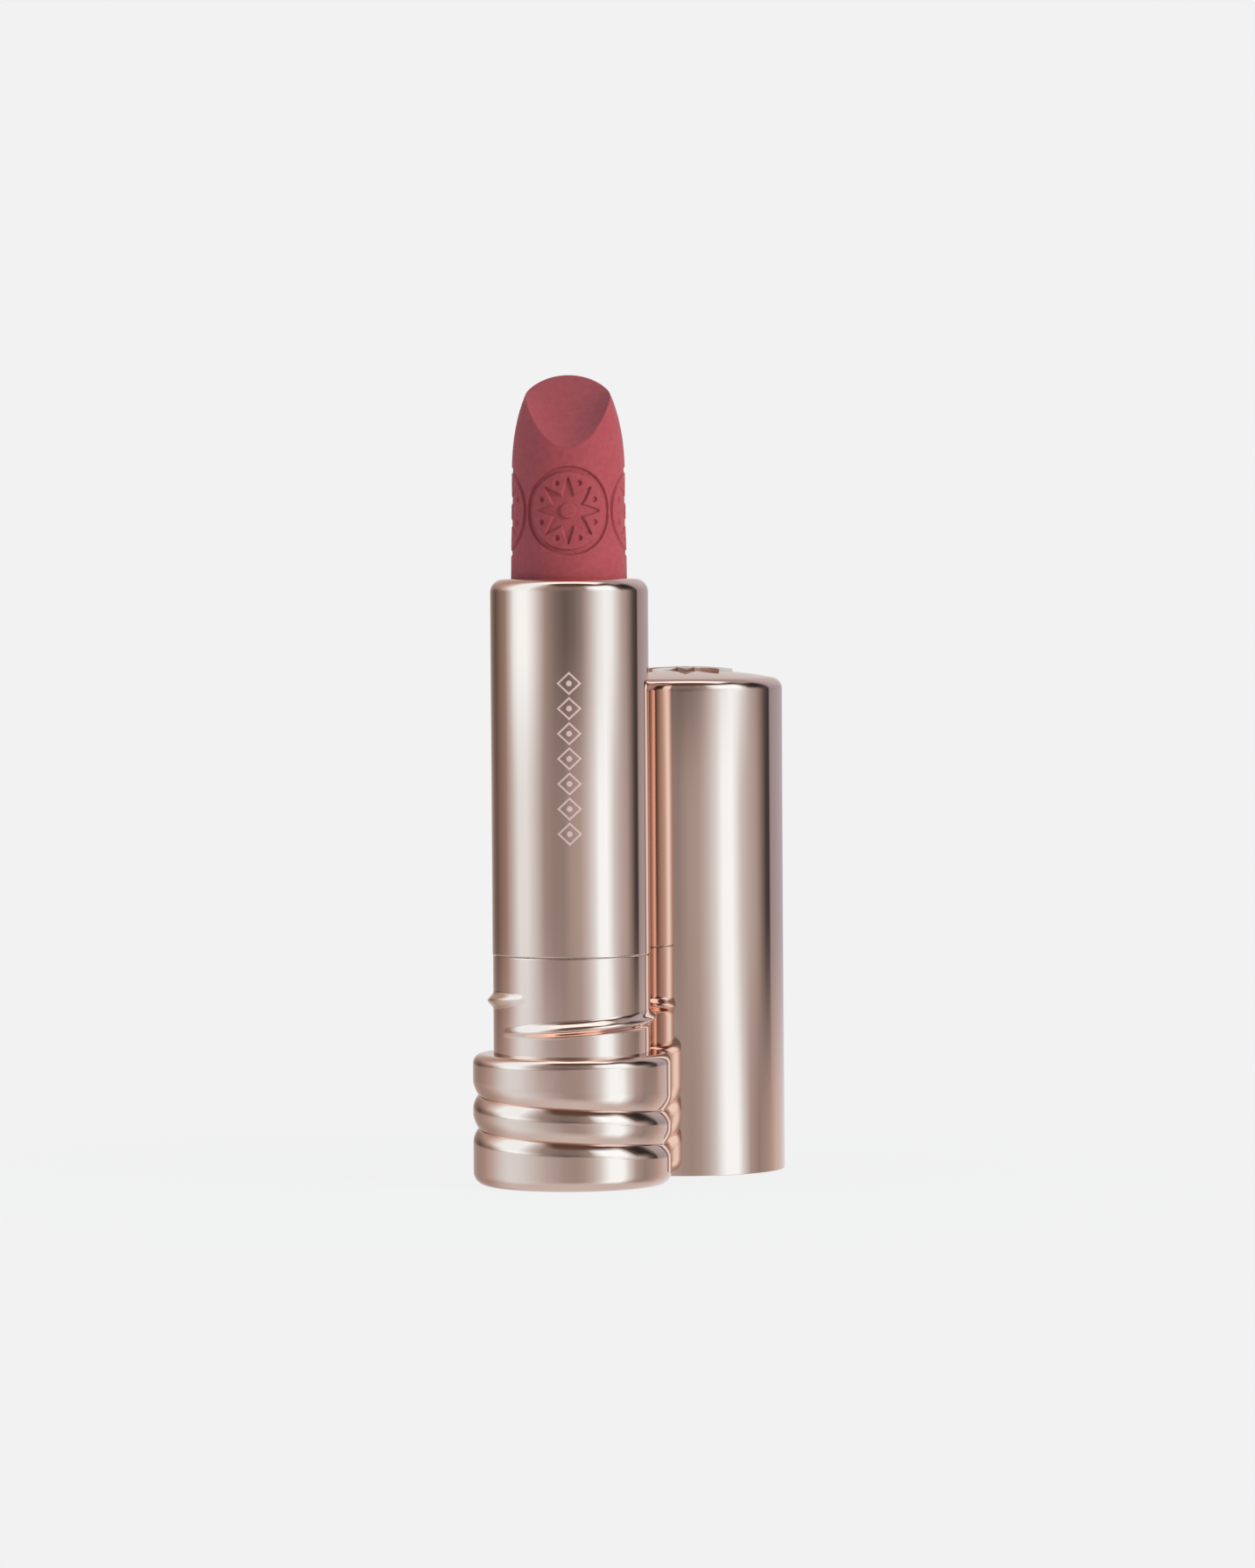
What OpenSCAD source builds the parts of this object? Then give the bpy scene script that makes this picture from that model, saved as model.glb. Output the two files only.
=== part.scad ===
// Twist-up lipstick with a screw-on cap, standing open beside its cap.
// The origin is the middle of the underside of the base; the cut face of the bullet looks along -Y.
// Holding the base and turning the barrel anticlockwise, seen from above, winds the bullet down.

/* [Base] */
// Radius of the base, and of the cap that screws down onto it
base_r = 10.5; // [10.3:0.1:11.5]
// Height of the shoulder of the base above the table
base_h = 13.9; // [13.8:0.1:15]
// Rounding of the shoulder
shoulder_round = 1.05; // [0.6:0.05:1.4]
// Rounding of the bottom edge
foot_round = 1.4; // [0.8:0.05:1.5]
// Thickness of the side wall of the base shell
base_wall = 1.7; // [1.6:0.05:2]

/* [Ornamental groove] */
// How deep the crease of the groove lies below the side of the base
groove_depth = 0.56; // [0.2:0.01:0.7]
// Height that the groove falls in one turn
groove_lead = 3.54; // [3:0.02:3.6]
// Height of the crease where it first passes the -X side
groove_start_z = 9.52; // [9:0.02:9.6]
// Height of the rounded lip above the crease
groove_upper_lip = 1.6; // [1:0.02:1.8]
// Height of the sloping lip below the crease
groove_lower_lip = 1.12; // [0.8:0.02:1.3]

/* [Collar and thread] */
// Radius of the collar
collar_r = 8.3; // [8.2:0.05:8.35]
// Height of the top edge of the collar
collar_top = 24.3; // [24:0.1:25]
// Thickness of the collar and barrel sheet
sheet = 0.35; // [0.3:0.01:0.4]
// How far the thread rib stands out of the collar
rib_height = 0.61; // [0.4:0.01:0.65]
// Width of the thread rib at its root
rib_width = 1.7; // [1.2:0.05:1.8]
// Height that the thread climbs in one turn
thread_lead = 3.5; // [3.4:0.05:3.8]

/* [Barrel] */
// Radius of the barrel
barrel_r = 8.35; // [8.35:0.05:8.5]
// Height of the rim of the barrel
barrel_top = 64; // [63.5:0.1:65]
// Rounding of the rim
rim_round = 1.4; // [1:0.05:1.5]
// Radius of the hole that the bullet comes out of
rim_hole_r = 6.5; // [6.4:0.05:6.7]

/* [Bullet] */
// Radius of the bullet where it leaves its cup
bullet_r = 6.15; // [6.05:0.01:6.2]
// Radius of the bullet where the tip starts to round
bullet_tip_r = 5.96; // [5.7:0.01:6]
// Height where the tip starts to round
tip_start_z = 75.1; // [74:0.1:76]
// Height of the rounded tip, before it is cut
tip_length = 12.4; // [11.5:0.1:14]
// How full the rounded tip is: 2 is half an ellipse, and more is blunter
tip_power = 2.1; // [2:0.05:2.6]
// Slope of the cut face above the horizontal
cut_angle = 41.3; // [34:0.1:42]
// Radius of the hollow of the cut face
cut_hollow_r = 8; // [6.6:0.1:12]
// Height of the middle of the cut face on the axis of the bullet
cut_z = 82.86; // [81:0.02:83.5]
// Height of the middle of the engraved band
band_z = 71.1; // [70:0.1:71.5]
// Depth of the engraving
band_depth = 0.18; // [0.1:0.01:0.25]

/* [Mechanism] */
// Height that the cup moves in one turn of the barrel
cam_lead = 12.8; // [12:0.1:12.8]
// Turns of the barrel from fully up to fully down
cam_turns = 1.8; // [1.6:0.05:1.8]
// Height of the lugs of the cup when it is fully up
lug_z = 50.3; // [50:0.1:50.6]
// Radius of a lug
lug_r = 0.9; // [0.7:0.05:1]

/* [Cap] */
// Height of the cap from its mouth to the top of its dome
cap_h = 54.22; // [54:0.02:56]
// Radius of the domed top
dome_r = 50; // [35:1:60]
// Rounding between the side and the dome
cap_round = 1.3; // [1:0.1:2]
// Thickness of the cap's metal
cap_sheet = 0.5; // [0.4:0.05:0.6]
// Where the cap stands, to the right of the base
cap_x = 12.4; // [12.3:0.1:20]
// Where the cap stands, behind the base
cap_y = 18; // [18:0.1:25]
// How high the emblem stands out of the dome
emblem_height = 0.35; // [0.2:0.05:0.5]

/* [Hidden] */
$fn = 96;
eps = 0.01;
over = 1;

// Running clearance between parts that turn or slide on each other
running = 0.08;
// Angle between the rings of points of a swept thread or groove
sweep_step = 6;

// Base and its filling
core_r = base_r - base_wall;
shoulder_thick = 1.2;
plate_thick = 1.3;
weight_r = 6.5;
weight_top = 11.5;
tube_seat_z = 13.5;
label_r = 7.5;
label_thick = 0.15;
label_gap = 0.03;
groove_turns_from = 75;
groove_turns_to = 800;
groove_clear = 0.05;

// Collar
collar_bore_r = collar_r - sheet;
collar_flange_r = 8.7;
collar_flange_thick = 0.4;
flange_z = base_h - shoulder_thick - collar_flange_thick;
rib_from = -145;
rib_to = 234;
rib_z = base_h + 3.85;
neck_top = collar_top - 0.9;

// Guide tube, sleeve and barrel
tube_r = 7.3;
tube_wall = 0.45;
tube_flange_top = collar_top - 0.3;
tube_lip_r = 7.7;
tube_lip_thick = 0.7;
tube_top = barrel_top - rim_round;
slot_w = 2 * lug_r + 0.3;
ring_section_r = 0.28;
seam_gap = 0.15;
barrel_bottom = collar_top + seam_gap;
barrel_bore_r = barrel_r - sheet;
sleeve_bore_r = tube_r + running;
sleeve_bottom = collar_top;
sleeve_top = tube_top - tube_lip_thick - 0.15;
cam_height = 2 * lug_r + 0.4;
cam_travel = cam_lead * cam_turns;

// Cup and bullet
cup_r = tube_r - tube_wall - 0.1;
cup_h = 13.7;
cup_floor = 1;
cup_bottom = lug_z - 2 * lug_r;
cup_top = cup_bottom + cup_h;
lining = 0.2;
lug_reach_r = barrel_bore_r - 0.15;
medallion_r = 4.2;
medallion_line = 0.35;
petals = 8;
petal_width = 0.22;

// Cap
cap_bore_r = 8.65;
thread_bore_r = 9.1;
thread_ring_top = 9.5;
cap_ceiling_z = 50.6;
liner_top = 51.4;
cap_weight_r = 8.4;
cap_weight_thick = 1.1;
ridge_height = 0.6;
ridge_z = 1.8;
emblem_r = 5.1;

// Sweeps a closed outline round the Z axis. outline(a) gives its [radius, height] points at angle a,
// anticlockwise with the radius to the right.
module helical_sweep(from, to, outline) {
    steps = ceil((to - from) / sweep_step);
    angles = [for (i = [0:steps]) from + (to - from) * i / steps];
    rings = [for (a = angles) [for (p = outline(a)) [p.x * cos(a), p.x * sin(a), p.y]]];
    n = len(rings[0]);
    sides = [
        for (i = [0:steps - 1], j = [0:n - 1])
            let (a = i * n + j, b = i * n + (j + 1) % n)
            each [[a, b, a + n], [b, b + n, a + n]]
    ];
    first_end = [for (j = [n - 1:-1:0]) j];
    last_end = [for (j = [0:n - 1]) steps * n + j];
    polyhedron([for (ring = rings) each ring], concat(sides, [first_end, last_end]));
}

// Rises from 0 to 1 within "fade" degrees of either end of a swept thread or groove
function end_taper(a, from, to, fade) =
    let (t = min(1, (a - from) / fade, (to - a) / fade)) sin(90 * max(0, t));

// Half section of a straight cylinder with rounded top and bottom edges
module rounded_half_section(r, h, top_round, bottom_round) {
    square([r - max(top_round, bottom_round), h]);
    translate([0, bottom_round]) square([r, h - top_round - bottom_round]);
    square([r - bottom_round, h / 2]);
    translate([0, h / 2]) square([r - top_round, h / 2]);
    translate([r - bottom_round, bottom_round]) circle(bottom_round);
    translate([r - top_round, h - top_round]) circle(top_round);
}

// A flat-ended tube
module tube(r_out, r_in, z0, z1) {
    difference() {
        translate([0, 0, z0]) cylinder(r = r_out, h = z1 - z0);
        translate([0, 0, z0 - over]) cylinder(r = r_in, h = z1 - z0 + 2 * over);
    }
}

// A flat-ended bar or hole
module bar(r, z0, z1) {
    translate([0, 0, z0]) cylinder(r = r, h = z1 - z0);
}

// Outline of the ornamental groove: a sloping lip, the crease, then a lip rounded like a quarter circle.
// At the ends of the groove the whole outline rises just clear of the side of the base.
function groove_outline(a) =
    let (
        f = end_taper(a, groove_turns_from, groove_turns_to, 60),
        crease_z = groove_start_z - groove_lead * (a - 180) / 360,
        rim_r = base_r + groove_clear,
        depth = (groove_depth + groove_clear) * f,
        low = groove_lower_lip * (0.4 + 0.6 * f),
        high = groove_upper_lip * (0.4 + 0.6 * f),
        lip = [for (t = [90:-15:0]) [rim_r - depth * (1 - sin(t)), crease_z + high * (1 - cos(t))]]
    )
    concat(
        [[base_r + over, crease_z - low], [base_r + over, crease_z + high]],
        lip,
        [[rim_r, crease_z - low]]
    );

// Die-cast shell of the base, open below, with the helical groove round its side
module base_shell() {
    color([0.80, 0.66, 0.60])
    difference() {
        rotate_extrude() rounded_half_section(base_r, base_h, shoulder_round, foot_round);
        bar(core_r, -over, base_h - shoulder_thick);
        bar(collar_r, -over, base_h + over);
        helical_sweep(groove_turns_from, groove_turns_to, function(a) groove_outline(a));
    }
}

// Moulded core that fills the base and carries the collar and the guide tube on its neck
module base_core() {
    color([0.25, 0.24, 0.25])
    difference() {
        union() {
            bar(core_r, plate_thick, flange_z);
            bar(collar_bore_r, flange_z - eps, neck_top);
        }
        bar(tube_r, tube_seat_z, neck_top + over);
        bar(weight_r, plate_thick - over, weight_top);
    }
}

// Steel slug that gives the base its weight
module base_weight() {
    color([0.45, 0.45, 0.47])
    bar(weight_r, plate_thick, weight_top);
}

// Plate pressed into the underside, with a recess for the label
module bottom_plate() {
    color([0.80, 0.66, 0.60])
    difference() {
        bar(core_r, 0, plate_thick);
        bar(label_r + running, -over, label_gap + label_thick);
    }
}

// Blank round sticker in the recess of the bottom plate
module shade_label() {
    color([0.93, 0.91, 0.88])
    bar(label_r, label_gap, label_gap + label_thick);
}

// Outline of the thread rib on the collar, a rounded hump that starts inside the sheet
function rib_outline(a) =
    let (
        f = end_taper(a, rib_from, rib_to, 30),
        z = rib_z + thread_lead * a / 360,
        half = rib_width / 2 * (0.3 + 0.7 * f),
        root_r = collar_r - sheet / 2,
        hump = [for (t = [-75:25:75]) [collar_r - 0.04 + (rib_height + 0.04) * f * (1 + cos(2.4 * t)) / 2, z + half * t / 75]]
    )
    concat([[root_r, z + half]], [[root_r, z - half]], hump);

// Drawn collar with its flange caught under the shoulder, and the thread rib for the cap
module collar_shell() {
    color([0.82, 0.68, 0.62])
    union() {
        tube(collar_r, collar_bore_r, flange_z, collar_top);
        tube(collar_flange_r, collar_bore_r, flange_z, flange_z + collar_flange_thick);
        helical_sweep(rib_from, rib_to, function(a) rib_outline(a));
    }
}

// Upright slot with round ends through one side of the guide tube
module lug_slot() {
    low = lug_z - cam_travel;
    rotate([90, 0, 90]) linear_extrude(tube_r + over) {
        translate([-slot_w / 2, low]) square([slot_w, cam_travel]);
        translate([0, low]) circle(slot_w / 2);
        translate([0, lug_z]) circle(slot_w / 2);
    }
}

// Inner tube that stops the cup from turning: two upright slots guide its lugs
module guide_tube() {
    color([0.90, 0.89, 0.86])
    difference() {
        union() {
            bar(tube_r, tube_seat_z, tube_top);
            bar(collar_bore_r, neck_top, tube_flange_top);
            bar(tube_lip_r, tube_top - tube_lip_thick, tube_top);
        }
        bar(tube_r - tube_wall, tube_seat_z - over, tube_top + over);
        for (side = [0, 180]) rotate(side) lug_slot();
    }
}

// Soft ring that drags on the sleeve, so that the bullet stays where it is wound to
module brake_ring() {
    color([0.15, 0.15, 0.16])
    translate([0, 0, tube_flange_top + ring_section_r])
    rotate_extrude() translate([tube_r + ring_section_r, 0]) circle(ring_section_r);
}

// Half section of the barrel: straight side and a rim that turns in over a quarter circle
module barrel_half_section(r, top, round) {
    translate([0, barrel_bottom]) square([r - round, top - barrel_bottom]);
    translate([0, barrel_bottom]) square([r, top - round - barrel_bottom]);
    translate([r - round, top - round]) circle(round);
}

// Drawn metal barrel that the hand turns
module barrel_shell() {
    color([0.82, 0.68, 0.62])
    difference() {
        rotate_extrude() barrel_half_section(barrel_r, barrel_top, rim_round);
        rotate_extrude() barrel_half_section(barrel_bore_r, barrel_top - sheet, rim_round - sheet);
        bar(barrel_bore_r, barrel_bottom - over, barrel_bottom + over);
        bar(rim_hole_r, barrel_bottom, barrel_top + over);
    }
}

// Outline of a cam slot: it cuts right through the wall of the sleeve
function cam_outline(a) =
    let (
        z = lug_z + cam_lead * a / 360,
        r0 = sleeve_bore_r - 0.5,
        r1 = barrel_bore_r + 0.5,
        half = cam_height / 2
    )
    [[r0, z - half], [r1, z - half], [r1, z + half], [r0, z + half]];

// Sleeve pressed into the barrel, with two helical cam slots for the lugs
module spiral_sleeve() {
    end_room = 9;
    color([0.94, 0.93, 0.90])
    difference() {
        tube(barrel_bore_r, sleeve_bore_r, sleeve_bottom, sleeve_top);
        bar(collar_bore_r, sleeve_bottom - over, tube_flange_top + 2 * ring_section_r + 0.04);
        for (side = [0, 180]) rotate(side)
            helical_sweep(-360 * cam_turns - end_room, end_room, function(a) cam_outline(a));
    }
}

// Cup that carries the bullet, with two round lugs
module cup() {
    color([0.90, 0.89, 0.86])
    difference() {
        union() {
            bar(cup_r, cup_bottom, cup_top);
            translate([-lug_reach_r, 0, lug_z]) rotate([0, 90, 0]) cylinder(r = lug_r, h = 2 * lug_reach_r);
        }
        bar(bullet_r + lining, cup_bottom + cup_floor, cup_top + over);
    }
}

// Thin metal lining between the cup and the bullet
module cup_lining() {
    color([0.82, 0.68, 0.62])
    tube(bullet_r + lining, bullet_r, cup_bottom + cup_floor, cup_top);
}

// Half outline of the bullet: the shank narrows a little, then the tip rounds off as a full half ellipse
function bullet_outline() =
    concat(
        [[0, cup_bottom + cup_floor], [bullet_r, cup_bottom + cup_floor], [bullet_r, cup_top]],
        [
            for (a = [0:5:90])
                [bullet_tip_r * sqrt(1 - pow(sin(a), tip_power)), tip_start_z + tip_length * sin(a)]
        ]
    );

// Flat star flower: long pointed leaves crossed over each other, so that each makes two petals
module rosette(r) {
    half_width = r * petal_width;
    arc_r = (pow(r, 2) + pow(half_width, 2)) / (2 * half_width);
    for (i = [0:petals / 2 - 1])
        rotate(i * 360 / petals) intersection() {
            translate([0, arc_r - half_width]) circle(arc_r, $fn = 360);
            translate([0, half_width - arc_r]) circle(arc_r, $fn = 360);
        }
}

// Flat ring, "line" wide inside radius r
module ring(r, line) {
    difference() {
        circle(r);
        circle(r - line);
    }
}

// Four flowers round the bullet, cut to the depth of the engraving
module engraved_band() {
    floor_r = bullet_tip_r + 0.06 - band_depth;
    difference() {
        for (i = [0:3])
            rotate(i * 90) translate([0, 0, band_z]) rotate([90, 0, 0])
            linear_extrude(bullet_r + over) {
                ring(medallion_r, medallion_line);
                rosette(medallion_r - 2 * medallion_line);
            }
        bar(floor_r, band_z - medallion_r - over, band_z + medallion_r + over);
    }
}

// Colour stick with its sloping, hollow cut face and its engraved band
module lip_bullet() {
    color([0.66, 0.31, 0.34])
    difference() {
        rotate_extrude() polygon(bullet_outline());
        translate([0, 0, cut_z]) rotate([cut_angle, 0, 0])
            translate([0, 0, cut_hollow_r]) rotate([90, 0, 0])
            cylinder(r = cut_hollow_r, h = 40, center = true);
        translate([-bullet_r, -bullet_r, cut_z + cut_hollow_r])
            cube([2 * bullet_r, 2 * bullet_r, tip_length]);
        engraved_band();
    }
}

// Half section of a domed can, "inset" inside the cap's outer surface
module dome_half_section(inset) {
    r = base_r - inset;
    round = cap_round - inset;
    dome = dome_r - inset;
    dome_z = cap_h - dome_r;
    corner_r = base_r - cap_round;
    corner_up = sqrt(pow(dome_r - cap_round, 2) - pow(corner_r, 2));
    square([r, dome_z + corner_up]);
    translate([corner_r, dome_z + corner_up]) circle(round);
    intersection() {
        translate([0, dome_z]) circle(dome, $fn = 720);
        translate([0, dome_z]) polygon([[0, 0], [1.2 * corner_r, 1.2 * corner_up], [0, 1.2 * corner_up]]);
    }
}

// Moves a part of the cap to where the cap stands
module at_cap() {
    translate([cap_x, cap_y, 0]) children();
}

// Drawn metal cap with a rounded edge and a shallow dome
module cap_shell() {
    color([0.82, 0.68, 0.62])
    at_cap() difference() {
        rotate_extrude() dome_half_section(0);
        rotate_extrude() dome_half_section(cap_sheet);
        bar(base_r - cap_sheet, -over, over);
    }
}

// Moulded inner cap that the barrel slides into
module cap_liner() {
    color([0.20, 0.19, 0.20])
    at_cap() difference() {
        bar(base_r - cap_sheet, thread_ring_top, liner_top);
        bar(cap_bore_r, thread_ring_top - over, cap_ceiling_z);
    }
}

// Outline of the thread ridge inside the mouth of the cap
function ridge_outline(a) =
    let (
        f = end_taper(a, -60, 270, 25),
        z = ridge_z + thread_lead * a / 360,
        crest_r = thread_bore_r - ridge_height * f,
        root_r = thread_bore_r + 0.3,
        foot = 0.3 + 0.35 * f
    )
    [
        [root_r, z - foot], [root_r, z + foot],
        [thread_bore_r + 0.02, z + foot], [crest_r - 0.02, z + foot / 2],
        [crest_r - 0.02, z - foot / 2], [thread_bore_r + 0.02, z - foot]
    ];

// Threaded ring in the mouth of the cap, which screws onto the rib of the collar
module cap_thread_ring() {
    color([0.20, 0.19, 0.20])
    at_cap() union() {
        tube(base_r - cap_sheet, thread_bore_r, 0.3, thread_ring_top);
        helical_sweep(-60, 270, function(a) ridge_outline(a));
    }
}

// Steel disc between the inner cap and the dome, for a weighty feel
module cap_weight() {
    color([0.45, 0.45, 0.47])
    at_cap() bar(cap_weight_r, liner_top, liner_top + cap_weight_thick);
}

// Thin round plate that lies on the dome
module emblem_plate() {
    rotate_extrude() intersection() {
        difference() {
            translate([0, cap_h - dome_r]) circle(dome_r + emblem_height, $fn = 720);
            translate([0, cap_h - dome_r]) circle(dome_r, $fn = 720);
        }
        translate([0, cap_h - over]) square([emblem_r + over, 2 * over]);
    }
}

// Applied eight-petal star flower that follows the dome
module cap_emblem() {
    color([0.84, 0.72, 0.67])
    at_cap() intersection() {
        emblem_plate();
        translate([0, 0, cap_h - over]) linear_extrude(2 * over) rosette(emblem_r);
    }
}

base_shell();
base_core();
base_weight();
bottom_plate();
shade_label();
collar_shell();
guide_tube();
brake_ring();
barrel_shell();
spiral_sleeve();
cup();
cup_lining();
lip_bullet();
cap_shell();
cap_liner();
cap_thread_ring();
cap_weight();
cap_emblem();
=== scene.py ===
"""Looks of a twist-up lipstick that stands open beside its screw-on cap, built round the CAD frame."""

import math

import bmesh
import bpy
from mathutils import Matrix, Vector

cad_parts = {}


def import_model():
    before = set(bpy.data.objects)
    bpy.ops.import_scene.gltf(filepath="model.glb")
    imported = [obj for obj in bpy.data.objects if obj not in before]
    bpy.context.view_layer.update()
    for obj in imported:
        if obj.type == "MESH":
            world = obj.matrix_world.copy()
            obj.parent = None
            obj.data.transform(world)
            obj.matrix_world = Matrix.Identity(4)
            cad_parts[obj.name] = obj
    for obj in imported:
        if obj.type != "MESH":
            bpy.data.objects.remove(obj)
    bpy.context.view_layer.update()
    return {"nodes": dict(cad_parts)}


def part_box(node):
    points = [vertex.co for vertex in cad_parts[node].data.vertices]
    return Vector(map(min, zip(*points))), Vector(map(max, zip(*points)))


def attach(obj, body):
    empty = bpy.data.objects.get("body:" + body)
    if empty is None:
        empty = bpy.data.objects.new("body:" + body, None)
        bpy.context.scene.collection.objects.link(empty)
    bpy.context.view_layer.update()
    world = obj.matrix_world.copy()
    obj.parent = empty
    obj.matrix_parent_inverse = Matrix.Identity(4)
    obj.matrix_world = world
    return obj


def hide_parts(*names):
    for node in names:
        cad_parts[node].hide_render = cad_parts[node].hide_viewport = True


MM = 0.001
COLUMNS = 240  # vertices round a turned piece
ARC_STEPS = 14  # pieces in a quarter-circle edge
SMALL_STEPS = 4  # pieces in the round of a sheet's edge
SHARP_ANGLE = math.radians(32)  # edges that turn more than this are shaded sharp
GUARD = 0.1  # millimetres to the row that keeps a round edge's shading off the straight side

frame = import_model()


# Places and sizes, read from the frame, in millimetres

def box_mm(node):
    """Lowest and highest corner of a CAD node, in millimetres."""
    low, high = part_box(node)
    return Vector(low) / MM, Vector(high) / MM


base_high = box_mm("base_shell")[1]
collar_high = box_mm("collar_shell")[1]
barrel_high = box_mm("barrel_shell")[1]
cup_high = box_mm("cup")[1]
bullet_low, bullet_high = box_mm("lip_bullet")
cap_low, cap_high = box_mm("cap_shell")
emblem_low, emblem_high = box_mm("cap_emblem")

BASE_R = base_high.x
BASE_H = base_high.z
COLLAR_TOP = collar_high.z
BARREL_R = barrel_high.x
BARREL_TOP = barrel_high.z
CUP_TOP = cup_high.z
BULLET_R = bullet_high.x
BULLET_FOOT = bullet_low.z
CAP_X = (cap_low.x + cap_high.x) / 2
CAP_Y = (cap_low.y + cap_high.y) / 2
CAP_R = (cap_high.x - cap_low.x) / 2
CAP_H = cap_high.z
EMBLEM_R = (emblem_high.x - emblem_low.x) / 2
EMBLEM_HEIGHT = emblem_high.z - CAP_H

# Sizes of the sheet metal and its details, in millimetres
SHEET = 0.35
EDGE = 0.05
BASE_BORE_R = 8.8
SHOULDER_ROUND = 1.05
SHOULDER_THICK = 1.2
SHOULDER_GAP = 0.02
FOOT_ROUND = 1.4
COLLAR_R = 8.3
FLANGE_GAP = 0.05
RIM_ROUND = 1.4
RIM_HOLE_R = 6.5
RIM_STEPS = 20
SEAM_GAP = 0.09
CAP_SHEET = 0.5
CAP_ROUND = 1.3
CAP_MOUTH_ROUND = 0.06
CAP_ROUND_STEPS = 18
DOME_R = 50.0
DOME_STEPS = 16
DOME_START_TILT = 0.15  # degrees from the end of the cap's round edge


# Mesh building

def ease(t):
    """Smooth step from 0 to 1 as t goes from 0 to 1."""
    t = min(1.0, max(0.0, t))
    return t * t * (3 - 2 * t)


def from_nearest(angle, sector):
    """Angle from the middle of the nearest of equal sectors, the first of which is centred on 0."""
    return (angle + sector / 2) % sector - sector / 2


def full_turn(count):
    """Evenly spaced angles round a circle."""
    return [2 * math.pi * i / count for i in range(count)]


def polar(r, a, z, center=(0.0, 0.0)):
    """Point at a radius and an angle round an upright axis, and at a height."""
    return (center[0] + r * math.cos(a), center[1] + r * math.sin(a), z)


def arc(center_r, center_z, radius, start, end, steps=ARC_STEPS):
    """Points of an arc in a half section, from one angle to the other, in degrees."""
    angles = [math.radians(start + (end - start) * i / steps) for i in range(steps + 1)]
    return [(center_r + radius * math.cos(a), center_z + radius * math.sin(a)) for a in angles]


def piece(name, vertices, faces, body, material, replaced=None):
    """Makes a smooth mesh piece from millimetre points, and rides it on a body."""
    mesh = bpy.data.meshes.new(name)
    mesh.from_pydata([Vector(v) * MM for v in vertices], [], faces)
    built = bmesh.new()
    built.from_mesh(mesh)
    bmesh.ops.recalc_face_normals(built, faces=built.faces)
    built.to_mesh(mesh)
    built.free()
    mesh.shade_smooth()
    mesh.set_sharp_from_angle(angle=SHARP_ANGLE)
    mesh.materials.append(material)
    obj = bpy.data.objects.new(name, mesh)
    bpy.context.scene.collection.objects.link(obj)
    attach(obj, body)
    if replaced:
        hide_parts(replaced)
    return obj


def add_face(faces, *corners):
    """Adds a face without its doubled corners, if three or more are left."""
    face = list(dict.fromkeys(corners))
    if len(face) > 2:
        faces.append(face)


def skin(rings):
    """Faces between each closed ring of vertex numbers and the next; a ring of one number is a pole."""
    faces = []
    for lower, upper in zip(rings, rings[1:]):
        count = max(len(lower), len(upper))
        for i in range(count):
            j = (i + 1) % count
            below = (lower[i % len(lower)], lower[j % len(lower)])
            above = (upper[j % len(upper)], upper[i % len(upper)])
            add_face(faces, *below, *above)
    return faces


def strip_faces(columns):
    """Faces between each open column of vertex numbers and the next."""
    faces = []
    for left, right in zip(columns, columns[1:]):
        for j in range(len(left) - 1):
            add_face(faces, left[j], right[j], right[j + 1], left[j + 1])
    return faces


def lathe(profile, center=(0.0, 0.0), closed=True):
    """Vertices and faces of a half section turned round an upright axis. A radius of 0 is a pole."""
    vertices = []
    rings = []
    for r, z in profile:
        start = len(vertices)
        angles = full_turn(COLUMNS) if r > 0 else [0.0]
        vertices.extend(polar(r, a, z, center) for a in angles)
        rings.append(list(range(start, len(vertices))))
    if closed:
        rings.append(rings[0])
    return vertices, skin(rings)


STRIP_STEP = 2  # degrees between the columns of a helical strip
STRIP_PINCH = 76  # degrees in which the strip narrows to a point at either end


def helical_shell(hand, radius, lead, middle_z, first, last, offsets, relief, profile):
    """A round shell whose side is wound from one helical strip, so that a rib or groove follows its rows.

    hand is 1 where the strip falls as the angle grows, and -1 where it rises. middle_z(a) is the height
    of the strip's middle line, offsets are the rows' distances from it, and relief(a, offset) is how far
    the surface stands out. The strip narrows to a point at both ends, first and last, in degrees.
    profile closes the shell, from the top of the side round the inside to the bottom of the side.
    """
    turn = 360 // STRIP_STEP
    k_first, k_last = first // STRIP_STEP, last // STRIP_STEP
    vertices = []

    def add(k, r, z):
        vertices.append(polar(r, math.radians(k * STRIP_STEP) * hand, z))
        return len(vertices) - 1

    def border_z(k):
        a = k * STRIP_STEP
        z = middle_z(a) + lead / 2
        z -= lead * ease((first + STRIP_PINCH - a) / STRIP_PINCH)
        z += lead * ease((a - (last + 360 - STRIP_PINCH)) / STRIP_PINCH)
        return z

    borders = {}
    for k in range(k_first, k_last + turn + 1):
        if k == k_first + turn:
            borders[k] = borders[k_first]
        elif k == k_last + turn:
            borders[k] = borders[k_last]
        else:
            borders[k] = add(k, radius, border_z(k))
    columns = []
    for k in range(k_first, k_last + 1):
        low, high = border_z(k + turn), border_z(k)
        column = [borders[k + turn]]
        for offset in offsets[1:-1]:
            if k in (k_first, k_last):
                column.append(borders[k])
                continue
            z = low + (high - low) * (offset / lead + 0.5)
            column.append(add(k, radius + relief(k * STRIP_STEP, offset), z))
        column.append(borders[k])
        columns.append(column)
    top = {k % turn: borders[k] for k in range(k_first, k_first + turn)}
    bottom = {k % turn: borders[k] for k in range(k_last, k_last + turn)}
    loops = [[top[i] for i in range(turn)]]
    for r, z in profile:
        loops.append([add(i, r, z) for i in range(turn)])
    loops.append([bottom[i] for i in range(turn)])
    return vertices, strip_faces(columns) + skin(loops)


# Materials. Noise scales are in features per metre, and bump distances in millimetres.

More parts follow.
